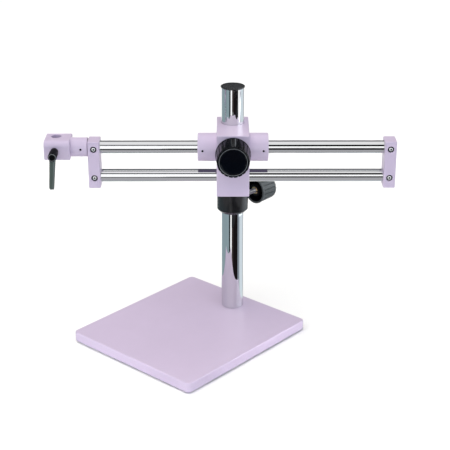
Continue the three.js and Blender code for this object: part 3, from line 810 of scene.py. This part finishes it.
def add_bearings():
    for side, outward in SIDES:
        bearing = f"linear_bearing_{side}"
        axis = (outward, 0, 0)
        radius = span(bearing).y / 2
        place = middle(bearing)
        half = span(bearing).x / 2
        outline = [
            (radius - 3.2 * MM, -half),
            (radius - 0.5 * MM, -half),
            (radius, -half + 0.5 * MM),
            (radius, half - 4.2 * MM),
            (radius - 0.6 * MM, half - 4.1 * MM),
            (radius - 0.6 * MM, half - 2.9 * MM),
            (radius, half - 2.8 * MM),
            (radius, half - 0.5 * MM),
            (radius - 0.5 * MM, half),
            (radius - 3.0 * MM, half),
            (radius - 3.2 * MM, half - 0.3 * MM),
            (radius - 3.2 * MM, -half),
        ]
        sleeve = revolve(f"{bearing}_sleeve", outline)
        finish(lay(sleeve, place, axis), "carrier", steel, "steel", bearing)
        lip = BAR_BORE - 0.05 * MM
        outline = [
            (lip, half - 2.2 * MM),
            (radius - 3.3 * MM, half - 2.4 * MM),
            (radius - 3.3 * MM, half - 0.5 * MM),
            (radius - 3.6 * MM, half - 0.35 * MM),
            (BAR_BORE + 1.3 * MM, half - 0.35 * MM),
            (BAR_BORE + 0.9 * MM, half - 0.8 * MM),
            (lip, half - 1.4 * MM),
            (lip, half - 2.2 * MM),
        ]
        seal = revolve(f"{bearing}_seal", outline)
        finish(lay(seal, place, axis), "carrier", rubber, "rubber")

        bush = f"guide_bush_{side}"
        half = span(bush).x / 2
        sleeve = ring(f"{bush}_turned", BAR_BORE, span(bush).y / 2, -half, half, 0.5 * MM)
        finish(lay(sleeve, middle(bush), axis), "carrier", brass, "brass", bush)

        add_set_screw(f"bearing_screw_{side}", "carrier")


# Boom: two bars between two end brackets


def add_boom():
    for level in ("upper", "lower"):
        node = f"{level}_bar"
        half = span(node).x / 2
        bar = rod(f"{node}_polished", span(node).y / 2, -half, half, 0.8 * MM, 144)
        finish(lay(bar, middle(node), ALONG_X), "boom", chrome_along, "chrome", node)
    for side, outward in SIDES:
        add_bracket(side, outward)
    washer = span("neck_washer")
    half = washer.x / 2
    spacer = ring("neck_washer_moulded", BAR_BORE, washer.y / 2, -half, half, 0.08 * MM)
    lay(spacer, middle("neck_washer"), ALONG_X)
    finish(spacer, "boom", washer_grey, "black_plastic", "neck_washer")


def add_bracket(side, outward):
    node = f"end_bracket_{side}"
    low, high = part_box(node)
    size = high - low
    centre = middle(node)
    body = prism(f"{node}_painted", rectangle(size.x, size.y, 2 * MM), low.z, high.z, 1.3 * MM)
    lay(body, (centre.x, centre.y, 0))
    inner_face = centre.x - outward * size.x / 2
    end_wall, screw_hole = 2.9 * MM, 3.2 * MM
    tools = []
    for level in ("upper", "lower"):
        bar = middle(f"{level}_bar")
        runs_through = side == "left" and level == "upper"
        depth = size.x + MM if runs_through else size.x - end_wall
        hole = drill(BAR_BORE, -depth, 0, 0.3 * MM)
        tools.append(lay(hole, (inner_face, bar.y, bar.z), (-outward, 0, 0)))
        screw = span(f"bar_screw_{side}_{level}")
        counterbore = drill(screw.x / 2 + 0.5 * MM, -5 * MM, 0, 0.2 * MM)
        for tool in (counterbore, drill(screw_hole, -20 * MM, 0)):
            tools.append(lay(tool, (centre.x, low.y, bar.z), FRONT))
    finish(cut(body, *tools), "boom", lilac, "lilac_paint", node)
    for level in ("upper", "lower"):
        add_bar_screw(f"bar_screw_{side}_{level}")


def add_bar_screw(node):
    """A socket head screw: its face is at height 0 and its tip lies below."""
    length = span(node).y
    head = span(node).x / 2
    head_foot, shade_ring_top = -4.2 * MM, -1.3 * MM
    crown = head - 1.65 * MM
    outline = [
        (0, -length),
        (2.5 * MM, -length),
        (3 * MM, -length + 0.5 * MM),
        (3 * MM, head_foot),
        (crown, head_foot),
        (crown, -0.5 * MM),
        (crown - 0.15 * MM, -0.2 * MM),
        (crown - 0.5 * MM, 0),
        (0, 0),
    ]
    screw = revolve(f"{node}_turned", outline, 72)
    cut(screw, prism("tool", hexagon(2.9 * MM), -3.2 * MM, MM))
    front = middle(node)
    front.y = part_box(node)[0].y
    finish(lay(screw, front, FRONT, math.radians(12)), "boom", chrome_small, "chrome", node)
    # A black ring round the smaller chrome crown: painted shade in the counterbore's gap.
    painted_shade_ring = ring(f"{node}_seat", crown + 0.02 * MM, head, head_foot, shade_ring_top, 0.2 * MM, 72)
    finish(lay(painted_shade_ring, front, FRONT), "boom", black_plastic, "black_plastic")
    # A black plug in the hex socket: painted shade in its depth.
    floor = rod(f"{node}_socket_painted_shade", 1.42 * MM, -3.1 * MM, -0.7 * MM, 0.1 * MM, 36)
    finish(lay(floor, front, FRONT), "boom", black_plastic, "black_plastic")


# Head with its pin bore


def add_head():
    low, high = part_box("pin_head")
    bar = middle("upper_bar")
    jaw_length = 40.5 * MM
    jaw_right = low.x + jaw_length
    nose, edge, bevel = 9 * MM, 2 * MM, 1.4 * MM
    profile = rounded(
        [
            (low.y, low.z, edge),
            (high.y, low.z, edge),
            (high.y, high.z, edge),
            (low.y, high.z, nose),
        ],
        10,
    )
    jaw = prism("pin_head_painted", profile, low.x, jaw_right, bevel)
    jaw.data.transform(OUTLINE_IN_YZ)
    neck_radius = 15 * MM
    outline = [
        (0, jaw_right - 6 * MM),
        (neck_radius, jaw_right - 6 * MM),
        (neck_radius, high.x - 0.8 * MM),
        (neck_radius - 0.25 * MM, high.x - 0.25 * MM),
        (neck_radius - 0.8 * MM, high.x),
        (0, high.x),
    ]
    neck = revolve("neck", outline, 128)
    join(jaw, lay(neck, (0, bar.y, bar.z), ALONG_X))
    pin_x, stud_z = middle("clamp_pad").x, middle("clamp_pad").z
    neck_screw = middle("neck_screw")
    bar_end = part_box("upper_bar")[0].x - SLIDING
    tools = [
        lay(drill(BAR_BORE, bar_end - high.x, 0, 0.3 * MM), (high.x, bar.y, bar.z), ALONG_X),
        lay(through_drill(PIN_BORE, low.z, high.z, 0.5 * MM), (pin_x, PIN_Y, 0)),
        lay(drill(STUD_HOLE, 0, PIN_Y - low.y, 0.4 * MM), (pin_x, PIN_Y, stud_z), FRONT),
        lay(drill(SET_SCREW_HOLE, 5 * MM, neck_radius, 0.2 * MM), (neck_screw.x, bar.y, bar.z), FRONT),
    ]
    finish(cut(jaw, *tools), "head", lilac, "lilac_paint", "pin_head")
    add_set_screw("neck_screw", "head")


# Clamping lever


def lever_arm(out, down, root_out):
    """The tapered arm, drawn with +Z out of the head and +Y up: a loft of bevelled sections."""
    root = Vector((0, root_out))
    tip = Vector((-down, out))
    along = (tip - root).normalized()
    across = Vector((along.y, -along.x))
    length = (tip - root).length
    root_width, tip_width = 9.4 * MM, 7.4 * MM
    root_thick, tip_thick = 8.2 * MM, 6.6 * MM
    stations = [0, 0.12, 0.3, 0.5, 0.7, 0.88, 0.955, 0.985, 1.0]
    shrink = {0.955: 0.97, 0.985: 0.86, 1.0: 0.62}
    vertices, faces = [], []
    for share in stations:
        size = shrink.get(share, 1.0)
        width = (root_width + (tip_width - root_width) * share) * size
        thick = (root_thick + (tip_thick - root_thick) * share) * size
        section = rounded(
            [
                (width / 2, -thick * 0.5, 0.9 * MM * size),
                (width / 2, thick * 0.12, 0.7 * MM * size),
                (width * 0.26, thick * 0.5, 0.9 * MM * size),
                (-width * 0.26, thick * 0.5, 0.9 * MM * size),
                (-width / 2, thick * 0.12, 0.7 * MM * size),
                (-width / 2, -thick * 0.5, 0.9 * MM * size),
            ],
            3,
        )
        centre = root + along * (length * share)
        for p in section:
            place = centre + across * p.y
            vertices.append((p.x, place.x, place.y))
    count = len(vertices) // len(stations)
    for i in range(len(stations) - 1):
        faces += band(i * count, (i + 1) * count, count)
    faces.append(tuple(reversed(range(count))))
    faces.append(tuple(range(len(vertices) - count, len(vertices))))
    return mesh_object("lever_arm_moulded", vertices, faces)


def reach_forward(node, place):
    """How far a node's back and front lie before a place."""
    low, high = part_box(node)
    return place.y - high.y, place.y - low.y


def add_lever():
    place = Vector(JOINTS["lever_turn"]["pos_m"])
    hub, hub_foot, hub_front = 6.7 * MM, 2.4 * MM, 31 * MM
    core_bore, shoulder_low, shoulder_high = 5.55 * MM, 18 * MM, 20 * MM
    outline = [
        (2.3 * MM, shoulder_low),
        (core_bore, shoulder_low),
        (core_bore, hub_foot + 0.3 * MM),
        (hub - 1.0 * MM, hub_foot),
        (hub - 0.5 * MM, hub_foot + 0.4 * MM),
        (hub - 0.3 * MM, hub_foot + 4 * MM),
        (hub, 12 * MM),
        (hub, hub_front - 1.4 * MM),
        (hub - 0.3 * MM, hub_front - 0.5 * MM),
        (hub - 0.8 * MM, hub_front - 0.2 * MM),
        (hub - 0.8 * MM, hub_front - 0.9 * MM),
        (hub - 1.9 * MM, hub_front - 0.9 * MM),
        (hub - 1.9 * MM, shoulder_high),
        (2.3 * MM, shoulder_high),
        (2.3 * MM, shoulder_low),
    ]
    # The hub is near-black while the arm is green; its black is in part painted shade and dark reflection
    # on the lever's plastic.
    handle = lay(revolve("lever_hub_moulded", outline, 96), place, FRONT)
    finish(handle, "lever", black_and_shade, "black_plastic", "lever_handle")
    # A grey ring at the hub's front edge: a painted highlight on the black hub.
    edge_foot = hub_front - 0.88 * MM
    edge = ring("lever_hub_edge", hub - 1.6 * MM, hub - 0.82 * MM, edge_foot, hub_front, 0.25 * MM)
    finish(lay(edge, place, FRONT), "lever", painted_highlight_grey, "black_plastic")
    arm = lever_arm(52 * MM, 43.3 * MM, 25 * MM)
    arm.data.transform(Matrix.Translation(place) @ Matrix.Rotation(math.pi / 2, 4, "X"))
    inside = lay(rod("tool", hub - 0.15 * MM, 0, 34 * MM), place, FRONT)
    finish(cut(arm, inside), "lever", lever_plastic, "green_plastic")

    back, front = reach_forward("lever_core", place)
    core = ring("lever_core_turned", 4.15 * MM, span("lever_core").x / 2, back, front, 0.5 * MM)
    finish(lay(core, place, FRONT), "clamp_stud", steel, "steel", "lever_core")

    stud = threaded_rod("clamp_stud_threaded", STUD_RADIUS, *reach_forward("clamp_stud", place))
    finish(lay(stud, place, FRONT), "clamp_stud", steel, "steel", "clamp_stud")

    back, front = reach_forward("lever_screw", place)
    head = span("lever_screw").x / 2
    outline = [
        (0, back),
        (1.9 * MM, back),
        (1.9 * MM, front - 2.6 * MM),
        (head, front - 2.6 * MM),
        (head, front - 0.5 * MM),
        (head - 0.4 * MM, front),
        (0, front),
    ]
    screw = revolve("lever_screw_turned", outline, 72)
    cut(screw, prism("tool", hexagon(4 * MM), front - 1.5 * MM, front + MM))
    finish(lay(screw, place, FRONT), "clamp_stud", black_and_shade, "steel", "lever_screw")
    add_spring(place)


def add_spring(place):
    """A coil round the lever's screw, squeezed against the hub's shoulder as the lever is pulled out."""
    start, end = reach_forward("lever_spring", place)
    wire, coil, turns = 0.45 * MM, 3.5 * MM, 4
    steps, sides = turns * 28, 10
    vertices = []
    for i in range(steps + 1):
        angle = 2 * math.pi * turns * i / steps
        outwards = Vector((math.cos(angle), math.sin(angle), 0))
        centre = outwards * coil + Vector((0, 0, start + wire + (end - start - 2 * wire) * i / steps))
        for k in range(sides):
            around = 2 * math.pi * k / sides
            up = Vector((0, 0, math.sin(around)))
            vertices.append(centre + (outwards * math.cos(around) + up) * wire)
    faces = [tuple(range(sides)), tuple(reversed(range(steps * sides, (steps + 1) * sides)))]
    for i in range(steps):
        for k in range(sides):
            m = (k + 1) % sides
            faces.append((i * sides + k, (i + 1) * sides + k, (i + 1) * sides + m, i * sides + m))
    spring = lay(mesh_object("lever_spring_coil", vertices, faces), place, FRONT)
    finish(spring, "lever", steel, "steel", "lever_spring")
    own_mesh(spring)


def dress_hidden_nodes():
    """CAD nodes that keep their own shape: the pads and the plug inside the post."""
    pads = ("boom_lock_pad", "swivel_lock_pad", "collar_lock_pad", "clamp_pad")
    for node in (*pads, "post_plug"):
        materials = frame["nodes"][node].data.materials
        materials.clear()
        materials.append(brass if node in pads else steel)


# Studio


def add_floor():
    vertices = [(-30, -30, 0), (30, -30, 0), (30, 30, 0), (-30, 30, 0)]
    floor = mesh_object("studio_floor", vertices, [(0, 1, 2, 3)])
    material = bpy.data.materials.new("pale_floor")
    material.use_nodes = True
    shader = material.node_tree.nodes["Principled BSDF"]
    shader.inputs["Base Color"].default_value = (0.94, 0.94, 0.94, 1)
    shader.inputs["Roughness"].default_value = 0.9
    floor.data.materials.append(material)


def reflect_only(name, vertices, color, strength=1.0, faces=((0, 1, 2, 3),)):
    """A studio card that nothing but a reflection sees. It lights nothing and shades nothing."""
    card = mesh_object(name, vertices, faces)
    material, make, link = new_material(name)
    emission = make("ShaderNodeEmission", Color=(*color, 1), Strength=strength)
    link(emission.outputs["Emission"], make("ShaderNodeOutputMaterial").inputs["Surface"])
    card.data.materials.append(material)
    card.visible_camera = False
    card.visible_diffuse = False
    card.visible_shadow = False
    card.visible_transmission = False


def floor_card(name, from_angle, to_angle, near, far, color, height=0.4):
    """A wedge on the floor round the post, for what the post and the bars see below them.
    Angles are in degrees from straight in front of the stand, positive to the right."""
    post = middle("post")
    steps = 12
    vertices = []
    for k in range(steps + 1):
        angle = math.radians(from_angle + (to_angle - from_angle) * k / steps)
        for distance in (near, far):
            x = post.x + distance * math.sin(angle)
            vertices.append((x, post.y - distance * math.cos(angle), height * MM))
    faces = [(2 * k, 2 * k + 1, 2 * k + 3, 2 * k + 2) for k in range(steps)]
    reflect_only(name, vertices, color, faces=faces)


def front_card(name, left, right, low, high, color):
    """An upright card in front of the stand. Low and high are elevations seen from the bars, in degrees."""
    bars = middle("upper_bar")
    distance = 2.2
    y = bars.y - distance
    bottom = bars.z + distance * math.tan(math.radians(low))
    top = bars.z + distance * math.tan(math.radians(high))
    vertices = [(left, y, bottom), (right, y, bottom), (right, y, top), (left, y, top)]
    reflect_only(name, vertices, color)


def floor_patch(name, left, right, near, far, color, height):
    """A rectangle on the floor in front of the stand. Near and far are distances from the bars."""
    y = middle("upper_bar").y
    z = height * MM
    corners = [(left, y - far, z), (right, y - far, z), (right, y - near, z), (left, y - near, z)]
    reflect_only(name, corners, color)


def post_strip(name, from_angle, to_angle, color):
    """A low upright strip in front of the post, which carries a floor card on above the floor."""
    post = middle("post")
    distance, height = 0.3, 0.1
    vertices = []
    for angle in (math.radians(from_angle), math.radians(to_angle)):
        x = post.x + distance * math.sin(angle)
        y = post.y - distance * math.cos(angle)
        vertices += [(x, y, MM), (x, y, height)]
    reflect_only(name, vertices, color, faces=[(0, 2, 3, 1)])


def under_housing(color):
    """The shaded underside of the carrier's bearing housing, as the lower bar sees it."""
    bar = middle("upper_bar")
    low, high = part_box("carrier_block")
    z = bar.z - HOUSING_RADIUS - 0.5 * MM
    half = 14 * MM
    corners = [(low.x, bar.y - half, z), (high.x, bar.y - half, z)]
    corners += [(high.x, bar.y + half, z), (low.x, bar.y + half, z)]
    reflect_only("card_under_housing", corners, color)


def add_reflections():
    black, slate, pale = (0.012, 0.009, 0.01), (0.33, 0.43, 0.465), (0.84, 0.94, 1.0)
    white, thin_dark = (1.4, 1.4, 1.4), (0.035, 0.04, 0.045)
    floor_card("card_slate", -145, -34, 0.02, 1.7, slate)
    floor_card("card_thin_dark", -36, -22, 0.02, 1.4, thin_dark, 0.5)
    floor_card("card_line", -21, -9, 0.02, 1.4, white, 0.8)
    floor_card("card_brown", -8, 8, 0.02, 1.4, (0.06, 0.045, 0.042))
    floor_card("card_black", 8, 54, 0.02, 1.4, black)
    floor_card("card_grey_blue", 54, 76, 0.02, 0.75, (0.3, 0.35, 0.4))
    floor_card("card_pale", 76, 128, 0.02, 1.7, pale)
    floor_card("card_edge", 128, 150, 0.02, 1.7, (0.5, 0.53, 0.56))
    floor_card("card_right_bright", 70, 125, 0.46, 1.04, (1.4, 1.5, 1.6), 1.2)
    floor_patch("card_bars_dark", -0.4, 0.8, 0.36, 0.95, (0.03, 0.03, 0.033), 1.2)
    floor_patch("card_bars_white", -0.42, -0.16, 0.95, 1.4, white, 0.9)
    floor_patch("card_bars_far_white", -4, 0.02, 1.4, 2.2, white, 0.6)
    floor_patch("card_bars_far_black", 0.02, 4, 1.4, 2.2, black, 0.6)
    front_card("card_window", -4, 0.02, -8, 38, white)
    front_card("card_window_right", 0.02, 4, -5, 24, white)
    front_card("card_under_window", 0.02, 4, -8, -5, black)
    front_card("card_gap", -4, 0.02, 35, 53, (0.02, 0.02, 0.025))
    front_card("card_gap_right", 0.02, 4, 22, 53, black)
    post_strip("card_post_line", -21, -9, white)
    post_strip("card_post_thin_dark", -36, -22, thin_dark)
    under_housing((0.11, 0.095, 0.15))
    for side, left, right in (("left", -0.22, 0.0), ("right", 0.04, 0.45)):
        shelf = [(left, -0.1, 0.2), (right, -0.1, 0.2), (right, 0.05, 0.2), (left, 0.05, 0.2)]
        reflect_only(f"card_under_{side}_bars", shelf, (0.5, 0.5, 0.52))
    softbox = [(2.2, -1.4, 0.0), (2.2, 1.2, 0.0), (1.5, 1.2, 2.8), (1.5, -1.4, 2.8)]
    reflect_only("card_right_softbox", softbox, (1.0, 1.05, 1.1), 4.0)


def direction_ramp(tree, height, tones):
    ramp = tree.nodes.new("ShaderNodeValToRGB")
    tree.links.new(height, ramp.inputs["Fac"])
    elements = ramp.color_ramp.elements
    while len(elements) < len(tones):
        elements.new(0.5)
    for element, (position, color) in zip(elements, tones):
        element.position = position
        element.color = (*color, 1)
    return ramp.outputs["Color"]


def add_world():
    """Surroundings by height: a white horizon, a dark back wall or a blue-grey front, a pale ceiling."""
    world = bpy.data.worlds.new("studio")
    bpy.context.scene.world = world
    world.use_nodes = True
    tree = world.node_tree
    place = tree.nodes.new("ShaderNodeTexCoord")
    split = tree.nodes.new("ShaderNodeSeparateXYZ")
    tree.links.new(place.outputs["Generated"], split.inputs["Vector"])
    ceiling, back_wall = (1.06, 1.05, 1.05), (0.065, 0.07, 0.08)
    behind = [
        (0.0, (1.0, 1.0, 1.0)),
        (0.1, (0.95, 0.97, 1.0)),
        (0.2, back_wall),
        (0.78, back_wall),
        (0.86, ceiling),
    ]
    ahead = [
        (0.0, (1.0, 1.0, 1.0)),
        (0.2, (0.42, 0.62, 0.78)),
        (0.5, (0.23, 0.35, 0.48)),
        (0.76, (0.27, 0.34, 0.43)),
        (0.84, ceiling),
    ]
    side = tree.nodes.new("ShaderNodeMapRange")
    side.inputs["From Min"].default_value = -0.25
    side.inputs["From Max"].default_value = 0.25
    tree.links.new(split.outputs["Y"], side.inputs["Value"])
    mix = tree.nodes.new("ShaderNodeMix")
    mix.data_type = "RGBA"
    tree.links.new(side.outputs["Result"], mix.inputs["Factor"])
    tree.links.new(direction_ramp(tree, split.outputs["Z"], ahead), mix.inputs["A"])
    tree.links.new(direction_ramp(tree, split.outputs["Z"], behind), mix.inputs["B"])
    tree.links.new(mix.outputs["Result"], tree.nodes["Background"].inputs["Color"])


def add_light(name, kind, energy, color, place, aim, **values):
    data = bpy.data.lights.new(name, kind)
    data.energy = energy
    data.color = color
    for key, value in values.items():
        setattr(data, key, value)
    light = in_scene(name, data)
    light.location = place
    light.rotation_mode = "QUATERNION"
    light.rotation_quaternion = (Vector(aim) - Vector(place)).to_track_quat("-Z", "Y")
    light.visible_camera = False
    light.visible_glossy = False


def add_lights():
    warm, neutral = (1.0, 0.94, 0.86), (1.0, 0.97, 0.94)
    add_light("ceiling", "SUN", 2.15, warm, (-0.7, -0.45, 3.0), (0, 0, 0.2), angle=math.radians(85))
    add_light("front_left", "AREA", 0.25, warm, (-0.6, -1.1, 0.95), (-0.15, -0.05, 0), size=0.9)
    add_light("back_left", "AREA", 1.2, warm, (-0.7, 0.9, 0.75), (-0.05, -0.05, 0), size=0.9)
    low_beam = {"size": 0.25, "spread": math.radians(36)}
    add_light("low_right", "AREA", 0.2, neutral, (0.62, -0.62, 0.07), (0.12, -0.08, 0.008), **low_beam)
    add_light("low_left", "AREA", 0.11, neutral, (-0.72, -0.5, 0.07), (-0.14, -0.1, 0.008), **low_beam)


def add_camera():
    data = bpy.data.cameras.new("camera")
    data.lens = CAMERA_LENS
    data.sensor_width = 36
    data.clip_end = 60
    camera = in_scene("camera", data)
    camera.location = CAMERA_PLACE
    camera.rotation_euler = (CAMERA_PITCH, 0, CAMERA_YAW)
    bpy.context.scene.camera = camera


def add_studio():
    add_floor()
    add_reflections()
    add_world()
    add_lights()
    add_camera()
    bpy.context.scene.view_settings.view_transform = "Standard"


add_base()
add_feet()
add_post()
add_collar()
add_knobs()
add_carrier()
add_bearings()
add_boom()
add_head()
add_lever()
dress_hidden_nodes()
add_studio()

bpy.context.view_layer.update()
